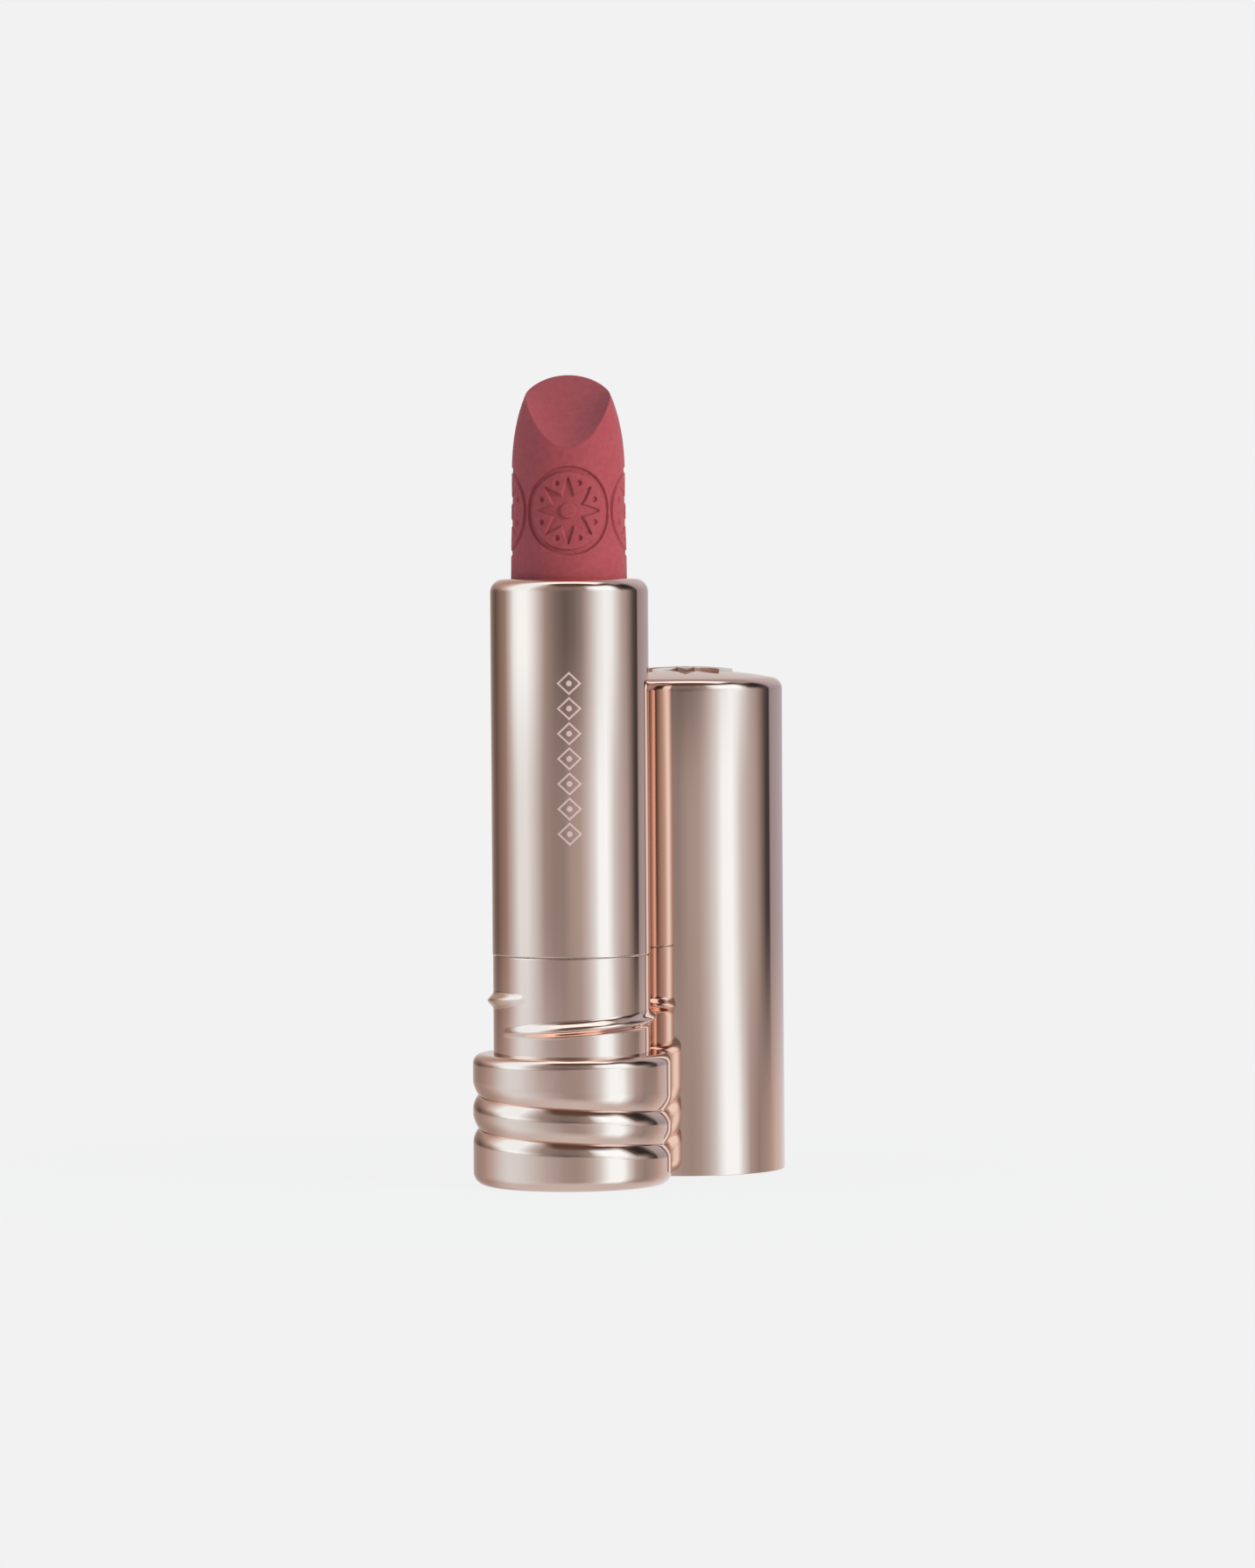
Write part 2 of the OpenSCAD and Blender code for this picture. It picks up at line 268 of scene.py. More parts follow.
NOISE_LOW, NOISE_HIGH = 0.3, 0.7  # nearly all of a noise texture's values lie between these
EVEN = (1, 1, 1)
UPRIGHT_MARKS = (1, 1, 0.25)
TURNING_MARKS = (1, 1, 8)


def principled(name, metallic, roughness, specular=0.5):
    """A new material with its node tree and its principled shader."""
    material = bpy.data.materials.new(name)
    material.use_nodes = True
    tree = material.node_tree
    shader = tree.nodes["Principled BSDF"]
    shader.inputs["Metallic"].default_value = metallic
    shader.inputs["Roughness"].default_value = roughness
    shader.inputs["Specular IOR Level"].default_value = specular
    return material, tree, shader


def noise(tree, scale, detail=3.0, stretch=EVEN):
    """Noise in the object's own space."""
    place = tree.nodes.new("ShaderNodeTexCoord")
    mapping = tree.nodes.new("ShaderNodeMapping")
    mapping.inputs["Scale"].default_value = stretch
    texture = tree.nodes.new("ShaderNodeTexNoise")
    texture.inputs["Scale"].default_value = scale
    texture.inputs["Detail"].default_value = detail
    tree.links.new(place.outputs["Object"], mapping.inputs["Vector"])
    tree.links.new(mapping.outputs["Vector"], texture.inputs["Vector"])
    return texture.outputs["Fac"]


def spread(tree, value, low, high):
    """Maps the usual values of noise to a range."""
    node = tree.nodes.new("ShaderNodeMapRange")
    node.inputs["From Min"].default_value = NOISE_LOW
    node.inputs["From Max"].default_value = NOISE_HIGH
    node.inputs["To Min"].default_value = low
    node.inputs["To Max"].default_value = high
    tree.links.new(value, node.inputs["Value"])
    return node.outputs["Result"]


def two_tone(tree, shader, value, first, second):
    """Colours the shader between two colours by a noise value."""
    mix = tree.nodes.new("ShaderNodeMix")
    mix.data_type = "RGBA"
    mix.inputs["A"].default_value = (*first, 1)
    mix.inputs["B"].default_value = (*second, 1)
    tree.links.new(spread(tree, value, 0, 1), mix.inputs["Factor"])
    tree.links.new(mix.outputs["Result"], shader.inputs["Base Color"])


def roughen(tree, shader, value, low, high):
    """Varies the shader's roughness between two values by a noise value."""
    tree.links.new(spread(tree, value, low, high), shader.inputs["Roughness"])


def bump(tree, shader, height, strength, distance):
    """Bump from a height value, stacked on any bump that is there already."""
    node = tree.nodes.new("ShaderNodeBump")
    node.inputs["Strength"].default_value = strength
    node.inputs["Distance"].default_value = distance * MM
    tree.links.new(height, node.inputs["Height"])
    for link in list(shader.inputs["Normal"].links):
        tree.links.new(link.from_socket, node.inputs["Normal"])
    tree.links.new(node.outputs["Normal"], shader.inputs["Normal"])


def polished_metal(name, colour, roughness):
    """Polished rose-gold metal with faint handling marks and a slight waviness."""
    material, tree, shader = principled(name, metallic=1.0, roughness=roughness)
    lighter = tuple(min(1.0, c * 1.03) for c in colour)
    two_tone(tree, shader, noise(tree, scale=60), colour, lighter)
    marks = noise(tree, scale=350, detail=5.0, stretch=UPRIGHT_MARKS)
    roughen(tree, shader, marks, roughness * 0.8, roughness * 1.3)
    bump(tree, shader, noise(tree, scale=220, detail=1.0), strength=0.03, distance=0.02)
    bump(tree, shader, noise(tree, scale=9000, detail=2.0), strength=0.05, distance=0.002)
    return material


def wax(name, colour):
    """Matte lipstick wax: fine grain, soft sheen, slight depth."""
    material, tree, shader = principled(name, metallic=0.0, roughness=0.55, specular=0.22)
    darker = tuple(c * 0.86 for c in colour)
    two_tone(tree, shader, noise(tree, scale=1500, detail=4.0), darker, colour)
    roughen(tree, shader, noise(tree, scale=900, detail=4.0), 0.48, 0.62)
    shader.inputs["Subsurface Weight"].default_value = 0.15
    shader.inputs["Subsurface Radius"].default_value = (0.9 * MM, 0.3 * MM, 0.25 * MM)
    shader.inputs["Subsurface Scale"].default_value = 0.6
    shader.inputs["Sheen Weight"].default_value = 0.04
    shader.inputs["Sheen Roughness"].default_value = 0.5
    bump(tree, shader, noise(tree, scale=4200, detail=4.0), strength=0.9, distance=0.06)
    bump(tree, shader, noise(tree, scale=1300), strength=0.35, distance=0.07)
    return material


def moulded(name, colour, roughness, depth=0.0):
    """Moulded plastic with a fine spark-eroded grain."""
    material, tree, shader = principled(name, metallic=0.0, roughness=roughness)
    darker = tuple(c * 0.9 for c in colour)
    two_tone(tree, shader, noise(tree, scale=300), darker, colour)
    roughen(tree, shader, noise(tree, scale=1200), roughness * 0.9, roughness * 1.15)
    shader.inputs["Subsurface Weight"].default_value = depth
    shader.inputs["Subsurface Radius"].default_value = (MM, MM, MM)
    bump(tree, shader, noise(tree, scale=6000, detail=2.0), strength=0.25, distance=0.02)
    return material


def turned_steel(name, dark, light):
    """Plain steel with fine turning marks."""
    material, tree, shader = principled(name, metallic=1.0, roughness=0.35)
    two_tone(tree, shader, noise(tree, scale=500), dark, light)
    roughen(tree, shader, noise(tree, scale=2500, stretch=TURNING_MARKS), 0.28, 0.45)
    bump(tree, shader, noise(tree, scale=2500, stretch=TURNING_MARKS), strength=0.2, distance=0.02)
    return material


def paper(name, dark, light):
    """Coated paper of the blank label."""
    material, tree, shader = principled(name, metallic=0.0, roughness=0.5)
    two_tone(tree, shader, noise(tree, scale=1800, detail=5.0), dark, light)
    roughen(tree, shader, noise(tree, scale=1500), 0.42, 0.6)
    bump(tree, shader, noise(tree, scale=4000, detail=4.0), strength=0.2, distance=0.02)
    return material


def ink(name, dark, light):
    """Pale satin print on the barrel."""
    material, tree, shader = principled(name, metallic=0.0, roughness=0.4)
    two_tone(tree, shader, noise(tree, scale=2500, detail=4.0), dark, light)
    roughen(tree, shader, noise(tree, scale=1500), 0.35, 0.5)
    bump(tree, shader, noise(tree, scale=7000, detail=2.0), strength=0.15, distance=0.01)
    return material


ROSE = (0.875, 0.607, 0.51)
DULL_ROSE = (0.66, 0.45, 0.375)
BERRY = (0.34, 0.060, 0.068)
BLACK = (0.03, 0.028, 0.03)
NATURAL = (0.78, 0.76, 0.71)
DARK_GREY = (0.05, 0.05, 0.055)

metal_base = polished_metal("rose_metal_base", ROSE, 0.06)
metal_barrel = polished_metal("rose_metal_barrel", ROSE, 0.045)
metal_cap = polished_metal("rose_metal_cap", ROSE, 0.045)
metal_emblem = polished_metal("emblem_metal", DULL_ROSE, 0.26)
metal_cup = polished_metal("cup_metal", ROSE, 0.2)
lip_wax = wax("lip_colour", BERRY)
black_plastic = moulded("black_plastic", BLACK, 0.42)
natural_plastic = moulded("natural_plastic", NATURAL, 0.4, depth=0.3)
silicone = moulded("silicone", DARK_GREY, 0.6)
steel = turned_steel("steel", (0.42, 0.42, 0.43), (0.56, 0.56, 0.57))
label_paper = paper("label", (0.72, 0.68, 0.64), (0.80, 0.77, 0.73))
print_ink = ink("print_ink", (0.56, 0.38, 0.35), (0.62, 0.43, 0.40))

CAD_MATERIALS = {
    "base_core": black_plastic,
    "base_weight": steel,
    "bottom_plate": metal_base,
    "shade_label": label_paper,
    "guide_tube": natural_plastic,
    "brake_ring": silicone,
    "spiral_sleeve": natural_plastic,
    "cup": natural_plastic,
    "cup_lining": metal_cup,
    "cap_liner": black_plastic,
    "cap_thread_ring": black_plastic,
    "cap_weight": steel,
}


def paint_cad_nodes():
    """Gives the CAD nodes that no piece replaces their materials."""
    for node, material in CAD_MATERIALS.items():
        obj = frame["nodes"][node]
        if not obj.material_slots:
            obj.data.materials.append(material)
        for material_slot in obj.material_slots:
            material_slot.link = "OBJECT"
            material_slot.material = material


# Base, with its ornamental groove. Angles along a groove or rib are in degrees.

GROOVE_DEPTH = 0.56
GROOVE_LEAD = 3.54
GROOVE_START_Z = 9.52  # height of the crease at 180 degrees
GROOVE_UPPER_LIP = 1.6
GROOVE_LOWER_LIP = 1.35
GROOVE_FROM, GROOVE_TO = 75, 800
GROOVE_FADE = 60
UPPER_POWER = 1.7
LOWER_POWER = 1.8
LEDGE_SHARE = 0.08  # depth of the narrow ledge below the crease, as a share of the groove's
LEDGE_WIDTH = 0.07  # its width, as a share of the lower lip
LIP_ROWS = (0.2, 0.3, 0.4, 0.5, 0.6, 0.7, 0.8, 0.9, 1.0)  # rows on either lip, as shares of it
ROWS_BELOW_CREASE = (0.12, 0.07, 0.035)
ROWS_ABOVE_CREASE = (0.04, 0.1)
PAST_LOWER_LIP = 1.12


def groove_fade(a):
    """How much of the groove's depth there is at an angle."""
    return ease(min((a - GROOVE_FROM) / GROOVE_FADE, (GROOVE_TO - a) / GROOVE_FADE))


def groove_relief(a, offset):
    """Depth of the groove: below its crease a ledge and a sloping lip, and above it a rounder lip."""
    if offset < 0:
        down = min(1.0, -offset / GROOVE_LOWER_LIP)
        shape = (1 - down) ** LOWER_POWER + LEDGE_SHARE * max(0.0, 1 - down / LEDGE_WIDTH)
    else:
        up = min(1.0, offset / GROOVE_UPPER_LIP)
        shape = (1 + LEDGE_SHARE) * (1 - up) ** UPPER_POWER
    return -GROOVE_DEPTH * groove_fade(a) * shape


def base_shell():
    """Base shell with rounded shoulder and foot."""
    lower = [-GROOVE_LOWER_LIP * t for t in (PAST_LOWER_LIP, *reversed(LIP_ROWS), *ROWS_BELOW_CREASE)]
    upper = [GROOVE_UPPER_LIP * t for t in (*ROWS_ABOVE_CREASE, *LIP_ROWS)]
    offsets = [-GROOVE_LEAD / 2, *lower, 0.0, *upper, GROOVE_LEAD / 2]
    top = BASE_H - SHOULDER_ROUND
    under = BASE_H - SHOULDER_THICK
    profile = [
        (BASE_R, top - GUARD),
        *arc(BASE_R - SHOULDER_ROUND, top, SHOULDER_ROUND, 0, 90),
        (COLLAR_R + SHOULDER_GAP, BASE_H), (COLLAR_R + SHOULDER_GAP, under),
        (BASE_BORE_R, under), (BASE_BORE_R, 0.0),
        *arc(BASE_R - FOOT_ROUND, FOOT_ROUND, FOOT_ROUND, -90, 0),
        (BASE_R, FOOT_ROUND + GUARD),
    ]
    first = GROOVE_FROM - GROOVE_FADE - 1  # one less, to fall on a column
    vertices, faces = helical_shell(
        1, BASE_R, GROOVE_LEAD,
        lambda a: GROOVE_START_Z - GROOVE_LEAD * (a - 180) / 360,
        first, GROOVE_TO + GROOVE_FADE, offsets, groove_relief, profile,
    )
    return piece(
        "base_shell_metal", vertices, faces, "base_unit", metal_base, "base_shell",
    )


# Collar, with its thread rib

RIB_HEIGHT = 0.6
RIB_HALF_WIDTH = 0.92
RIB_LEAD = 3.5
RIB_Z = BASE_H + 3.85
RIB_FROM, RIB_TO = -234, 150
RIB_START_TAPER = 34
RIB_END_TAPER = 55
RIB_TIP_WIDTH = 0.55  # width at the ends, as a share
RIB_POWER = 0.9
RIB_ROWS = (0.08, 0.16, 0.25, 0.34, 0.43, 0.52, 0.61, 0.7, 0.79, 0.88, 0.95, 1.0, 1.06)


def rib_relief(a, offset):
    """Height of the thread rib: a rounded hump that tapers at both ends."""
    fade = ease(min((a - RIB_FROM) / RIB_START_TAPER, (RIB_TO - a) / RIB_END_TAPER))
    half = RIB_HALF_WIDTH * (RIB_TIP_WIDTH + (1 - RIB_TIP_WIDTH) * fade)
    t = min(1.0, abs(offset) / half)
    return RIB_HEIGHT * fade * (1 - ease(t) ** RIB_POWER)


def collar_shell():
    """Collar with the raised rib that the cap screws onto."""
    rows = [RIB_HALF_WIDTH * t for t in RIB_ROWS]
    offsets = [-RIB_LEAD / 2, *[-r for r in reversed(rows)], 0.0, *rows, RIB_LEAD / 2]
    bore = COLLAR_R - SHEET
    flange_z = BASE_H - SHOULDER_THICK - FLANGE_GAP
    profile = [
        (COLLAR_R, COLLAR_TOP - EDGE - GUARD),
        *arc(COLLAR_R - EDGE, COLLAR_TOP - EDGE, EDGE, 0, 90, SMALL_STEPS),
        (bore, COLLAR_TOP), (bore, flange_z),
        (COLLAR_R, flange_z), (COLLAR_R, BASE_H + FLANGE_GAP),
    ]
    vertices, faces = helical_shell(
        -1, COLLAR_R, RIB_LEAD,
        lambda a: RIB_Z - RIB_LEAD * a / 360,
        RIB_FROM - STRIP_PINCH, RIB_TO + STRIP_PINCH, offsets, rib_relief, profile,
    )
    return piece(
        "collar_metal", vertices, faces, "base_unit", metal_barrel, "collar_shell",
    )


# Barrel and its print

def barrel_shell():
    """Polished barrel: straight side, round rim turned in over the top."""
    center_r, center_z = BARREL_R - RIM_ROUND, BARREL_TOP - RIM_ROUND
    bottom = COLLAR_TOP + SEAM_GAP
    profile = [
        (BARREL_R - SHEET, bottom),
        *arc(BARREL_R - EDGE, bottom + EDGE, EDGE, -90, 0, SMALL_STEPS),
        (BARREL_R, bottom + EDGE + GUARD), (BARREL_R, center_z - GUARD),
        *arc(center_r, center_z, RIM_ROUND, 0, 90, RIM_STEPS),
        *arc(RIM_HOLE_R + EDGE, BARREL_TOP - EDGE, EDGE, 90, 180, SMALL_STEPS),
        (RIM_HOLE_R, BARREL_TOP - SHEET),
        *arc(center_r, center_z, RIM_ROUND - SHEET, 90, 0),
    ]
    vertices, faces = lathe(profile)
    return piece(
        "barrel_metal", vertices, faces, "barrel", metal_barrel, "barrel_shell",
    )


PRINT_MIDDLE_Z = 45.2
PRINT_PITCH = 2.62
PRINT_COUNT = 7
PRINT_THICK = 0.02
LOZENGE = (1.3, 1.22)  # half width and half height
LOZENGE_HOLE = (1.02, 0.96)  # the same of the bare metal inside it
LOZENGE_STEPS = 6  # points to a side
DOT_PRINT_R = 0.3
DOT_HOLE_R = 0.02
DOT_POINTS = 20


def lozenge(width, height):
    """Outline of a lozenge, as [across, up] points."""
    corners = [(width, 0), (0, height), (-width, 0), (0, -height)]
    outline = []
    for start, end in zip(corners, corners[1:] + corners[:1]):
        for i in range(LOZENGE_STEPS):
            across = start[0] + (end[0] - start[0]) * i / LOZENGE_STEPS
            up = start[1] + (end[1] - start[1]) * i / LOZENGE_STEPS
            outline.append((across, up))
    return outline


def round_dot(radius):
    """Outline of a dot, as [across, up] points."""
    return [(radius * math.cos(a), radius * math.sin(a)) for a in full_turn(DOT_POINTS)]


def print_band(vertices, faces, outer, inner, z):
    """Adds a closed printed line between two outlines, bent round the barrel."""
    count = len(outer)
    start = len(vertices)
    for r in (BARREL_R - PRINT_THICK, BARREL_R + PRINT_THICK):
        for across, up in (*outer, *inner):
            vertices.append(polar(r, -math.pi / 2 + across / BARREL_R, z + up))
    back_out, back_in, front_out, front_in = (start + count * i for i in range(4))
    section = (front_out, front_in, back_in, back_out, front_out)
    for i in range(count):
        j = (i + 1) % count
        for first, second in zip(section, section[1:]):
            faces.append([first + i, first + j, second + j, second + i])


def barrel_print():
    """Upright chain of printed lozenges, each drawn as a fine line round a dot."""
    vertices, faces = [], []
    for i in range(PRINT_COUNT):
        z = PRINT_MIDDLE_Z + (i - (PRINT_COUNT - 1) / 2) * PRINT_PITCH
        print_band(vertices, faces, lozenge(*LOZENGE), lozenge(*LOZENGE_HOLE), z)
        print_band(vertices, faces, round_dot(DOT_PRINT_R), round_dot(DOT_HOLE_R), z)
    return piece("barrel_print", vertices, faces, "barrel", print_ink)


# Bullet

TIP_R = 5.96
TIP_START_Z = 75.1
TIP_LENGTH = 12.4
TIP_POWER = 2.1
TIP_ROWS = 40
CUT_ANGLE = math.radians(41.3)
CUT_Z = 82.86
CUT_HOLLOW_R = 6.8
CUT_FADE_FROM = -5.2
CUT_FADE_LENGTH = 8.4
CUT_FLATTENING = 0.9
CUT_EDGE_ROUND = 0.1
CUT_RIM_INSET = 0.03
CUT_RIM_DROP = 0.025
CUT_ROWS = 30
CUP_LIP_ROWS = (-0.5, 0.4)  # rows just under and over the cup's lip
BULLET_COLUMNS = 560
HALVINGS = 40

# The engraved band: four flowers in rings. Lengths are in millimetres, and shares of the full depth.
BAND_Z = 71.1
BAND_ROW = 0.075
BAND_MARGIN = 0.5
PLAIN_BELOW, PLAIN_ABOVE = 0.6, 0.3  # from the rings to the lowest and the highest of the band's rows
MEDALLION_R = 4.62
RING_R = MEDALLION_R - 0.25
RING_HALF_WIDTH = 0.28
LEAF_LENGTH = 3.55
LEAF_HALF_WIDTH = 0.78
LEAF_SHARE = 0.9
BOSS_R = 0.75
DOT_PLACE_R = 3.1
DOT_R = 0.26
DOT_SHARE = 0.8
ENGRAVING = 0.34
ENGRAVING_EDGE = 0.07
SIDE_SHARE = 0.35  # the engraving is shallower at the sides, where the mould parts


def shank_radius(z):
    """Radius of the bullet before it is cut and engraved."""
    if z < CUP_TOP:
        return BULLET_R
    if z < TIP_START_Z:
        t = (z - CUP_TOP) / (TIP_START_Z - CUP_TOP)
        return BULLET_R + (TIP_R - BULLET_R) * t
    t = min(1.0, (z - TIP_START_Z) / TIP_LENGTH)
    return TIP_R * math.sqrt(1 - t ** TIP_POWER)


def cut_height(x, y):
    """Height of the cut face above a point: hollow at its foot, and flatter towards the tip."""
    hollow = CUT_HOLLOW_R - math.sqrt(CUT_HOLLOW_R ** 2 - x * x)
    hollow *= 1 - CUT_FLATTENING * ease((y - CUT_FADE_FROM) / CUT_FADE_LENGTH)
    return CUT_Z + y * math.tan(CUT_ANGLE) + hollow / math.cos(CUT_ANGLE)


def on_the_cut(r, a, lowered=0.0):
    """Point of the cut face at a radius and an angle, or as far below it as it is lowered."""
    x, y, _ = polar(r, a, 0.0)
    return (x, y, cut_height(x, y) - lowered)


def cut_edge_z(a):
    """Height at which the cut meets the side of the bullet, at an angle, found by halving."""
    low, high = TIP_START_Z, TIP_START_Z + TIP_LENGTH
    for _ in range(HALVINGS):
        z = (low + high) / 2
        if z < on_the_cut(shank_radius(z), a)[2]:
            low = z
        else:
            high = z
    return low


def engraved(inside):
    """1 well inside a shape, 0 outside, with a soft edge."""
    return ease((inside + ENGRAVING_EDGE) / (2 * ENGRAVING_EDGE))


def leaf_depth(across, up):
    """1 inside the star flower's leaves, 0 outside."""
    arc_r = (LEAF_LENGTH ** 2 + LEAF_HALF_WIDTH ** 2) / (2 * LEAF_HALF_WIDTH)
    best = 0.0
    for i in range(4):
        t = i * math.pi / 4
        along = across * math.cos(t) + up * math.sin(t)
        side = abs(up * math.cos(t) - across * math.sin(t))
        if abs(along) < LEAF_LENGTH:
            half_width = math.sqrt(arc_r ** 2 - along ** 2) - (arc_r - LEAF_HALF_WIDTH)
            best = max(best, engraved(half_width - side))
    return best


def band_relief(a, z):
    """Depth of the engraved band: four flowers in rings, and a dot between each two petals."""
    up = z - BAND_Z
    if abs(up) > MEDALLION_R + BAND_MARGIN:
        return 0.0
    across = from_nearest(a, math.pi / 2) * TIP_R
    distance = math.hypot(across, up)
    ring = engraved(RING_HALF_WIDTH - abs(distance - RING_R))
    round_the_boss = ease((distance - BOSS_R) / (2 * ENGRAVING_EDGE))
    off_petal = abs(from_nearest(math.atan2(up, across), math.pi / 4)) - math.pi / 8
    dot_distance = math.hypot(distance * math.cos(off_petal) - DOT_PLACE_R, distance * math.sin(off_petal))
    dot = engraved(DOT_R - dot_distance)
    depth = max(ring, LEAF_SHARE * leaf_depth(across, up) * round_the_boss, DOT_SHARE * dot)
    return -ENGRAVING * (SIDE_SHARE + (1 - SIDE_SHARE) * abs(math.sin(a))) * depth


def band_heights():
    """Heights of the bullet's rows from its foot to just above the engraved band."""
    bottom = BAND_Z - MEDALLION_R - PLAIN_BELOW
    top = BAND_Z + MEDALLION_R + PLAIN_ABOVE
    count = round((top - bottom) / BAND_ROW)
    fine = [bottom + (top - bottom) * (i + 1) / count for i in range(count)]
    return [BULLET_FOOT, *(CUP_TOP + up for up in CUP_LIP_ROWS), bottom, *fine]


def lip_bullet():
    """Bullet with its engraved band and its slanted, hollow cut."""
    angles = full_turn(BULLET_COLUMNS)
    edges = [cut_edge_z(a) for a in angles]
    around = list(zip(angles, edges))
    vertices = [(0.0, 0.0, BULLET_FOOT)]
    rings = [[0]]

    def add_ring(points):
        rings.append(list(range(len(vertices), len(vertices) + len(points))))
        vertices.extend(points)

    heights = band_heights()
    for z in heights:
        add_ring([polar(shank_radius(z) + band_relief(a, z), a, z) for a in angles])
    band_top = heights[-1]
    for i in range(1, TIP_ROWS + 1):
        tops = [band_top + (edge - CUT_EDGE_ROUND - band_top) * i / TIP_ROWS for edge in edges]
        add_ring([polar(shank_radius(z), a, z) for a, z in zip(angles, tops)])
    add_ring([on_the_cut(shank_radius(edge) - CUT_RIM_INSET, a, CUT_RIM_DROP) for a, edge in around])
    for i in range(CUT_ROWS):
        share = 1 - i / CUT_ROWS
        add_ring([on_the_cut((shank_radius(edge) - CUT_EDGE_ROUND) * share, a) for a, edge in around])
    add_ring([(0.0, 0.0, CUT_Z)])
    return piece("lip_bullet_wax", vertices, skin(rings), "carrier", lip_wax, "lip_bullet")


# Cap and its emblem

def dome_z(distance):
    """Height of the dome of the cap at a distance from its axis."""
    return CAP_H - DOME_R + math.sqrt(DOME_R ** 2 - distance ** 2)


def cap_side(inset):
    """Half section of the cap's surface from its side to its middle, "inset" inside the outer surface."""
    corner_r = CAP_R - CAP_ROUND
    corner_up = math.sqrt((DOME_R - CAP_ROUND) ** 2 - corner_r ** 2)
    corner_z = CAP_H - DOME_R + corner_up
    tilt = math.degrees(math.atan2(corner_up, corner_r))
    points = [(CAP_R - inset, corner_z - GUARD)]
    points += arc(corner_r, corner_z, CAP_ROUND - inset, 0, tilt, CAP_ROUND_STEPS)
    points += arc(0, CAP_H - DOME_R, DOME_R - inset, tilt + DOME_START_TILT, 90, DOME_STEPS)
    points[-1] = (0.0, CAP_H - inset)
    return points


def cap_shell():
    """Polished cap with a round edge and a shallow dome."""
    mouth = CAP_MOUTH_ROUND
    profile = [
        *reversed(cap_side(CAP_SHEET)),
        (CAP_R - CAP_SHEET, mouth),
        *arc(CAP_R - CAP_SHEET + mouth, mouth, mouth, 180, 270, SMALL_STEPS),
        *arc(CAP_R - mouth, mouth, mouth, 270, 360, SMALL_STEPS),
        (CAP_R, mouth + GUARD),
        *cap_side(0),
    ]
    vertices, faces = lathe(profile, (CAP_X, CAP_Y), closed=False)
    return piece("cap_metal", vertices, faces, "cap", metal_cap, "cap_shell")


PETALS = 8
PETAL_SECTOR = 2 * math.pi / PETALS
PETAL_WIDTH = 0.22  # half the leaves' width, as a share of the emblem's radius
PETAL_COLUMNS = 24
EMBLEM_ROOT = 0.15  # how far the emblem reaches into the dome
EMBLEM_BEVEL = 0.05
EMBLEM_CREST = 0.98  # heights of the emblem's parts, as shares of its own
EMBLEM_BOSS_TOP = 0.99
EMBLEM_BOSS_FOOT = 0.5
EMBLEM_MOAT_TOP = 0.55
EMBLEM_MOAT_R = 1.25  # the petals end here, round the boss
EMBLEM_MOAT_SLOPE = 0.06
EMBLEM_MOAT_WIDTH = 0.12
EMBLEM_BOSS_R = 0.95
EMBLEM_BOSS_MARGIN = 0.01
BOSS_TILTS = range(0, 90, 15)
PETAL_ROWS = (0.9, 0.8, 0.7, 0.6, 0.5)
PETAL_DROP = 0.05  # how much lower a petal is at its point than at the boss
EDGE_DROP = 0.1  # how much lower a petal is at its edge than at its midrib
EDGE_DROP_R = 2.4  # the edge reaches its full drop at this radius


def emblem_outline(a):
    """Radius of the eight-petal star at an angle: the edge of crossed, pointed leaves."""
    half_width = EMBLEM_R * PETAL_WIDTH
    offset = (EMBLEM_R ** 2 - half_width ** 2) / (2 * half_width)
    turn = abs(from_nearest(a, PETAL_SECTOR))
    return -offset * math.sin(turn) + math.sqrt(EMBLEM_R ** 2 + (offset * math.sin(turn)) ** 2)


def petal_height(a, r):
    """Height of a petal above the dome: highest along its midrib."""
    off_rib = abs(from_nearest(a, PETAL_SECTOR)) / (PETAL_SECTOR / 2)
    drop = EDGE_DROP * off_rib * min(1.0, r / EDGE_DROP_R)
    return EMBLEM_HEIGHT * (EMBLEM_CREST - PETAL_DROP * r / EMBLEM_R - drop)


def cap_emblem():
    """Star flower on the dome: each petal has a midrib, and a round boss sits in the middle."""
    angles = full_turn(PETALS * PETAL_COLUMNS)
    vertices = [(CAP_X, CAP_Y, CAP_H - EMBLEM_ROOT)]
    rings = [[0]]

    def add_loop(radius_of, height_of):
        rings.append(list(range(len(vertices), len(vertices) + len(angles))))
        for a in angles:
            r = radius_of(a)
            vertices.append(polar(r, a, dome_z(r) + height_of(a, r), (CAP_X, CAP_Y)))

    def flat(share):
        return lambda a, r: EMBLEM_HEIGHT * share

    reach = EMBLEM_MOAT_R + EMBLEM_BEVEL
    add_loop(emblem_outline, lambda a, r: -EMBLEM_ROOT)
    add_loop(emblem_outline, lambda a, r: petal_height(a, r) - EMBLEM_BEVEL)
    add_loop(lambda a: emblem_outline(a) - EMBLEM_BEVEL, petal_height)
    for share in PETAL_ROWS:
        add_loop(lambda a: EMBLEM_MOAT_R + (emblem_outline(a) - reach) * share, petal_height)
    add_loop(lambda a: EMBLEM_MOAT_R + EMBLEM_MOAT_SLOPE, petal_height)
    add_loop(lambda a: EMBLEM_MOAT_R, flat(EMBLEM_MOAT_TOP))
    add_loop(lambda a: EMBLEM_MOAT_R - EMBLEM_MOAT_WIDTH, flat(EMBLEM_BOSS_FOOT))
    for tilt in BOSS_TILTS:
        up = math.radians(tilt)
        height = EMBLEM_BOSS_FOOT + (EMBLEM_BOSS_TOP - EMBLEM_BOSS_FOOT) * math.sin(up)
        add_loop(lambda a: EMBLEM_BOSS_MARGIN + EMBLEM_BOSS_R * math.cos(up), flat(height))
    rings.append([len(vertices)])
    vertices.append((CAP_X, CAP_Y, CAP_H + EMBLEM_HEIGHT * EMBLEM_BOSS_TOP))
    return piece(
        "cap_emblem_metal", vertices, skin(rings), "cap", metal_emblem, "cap_emblem",
    )


# Stage: pale floor, studio dome, key light and camera, in metres

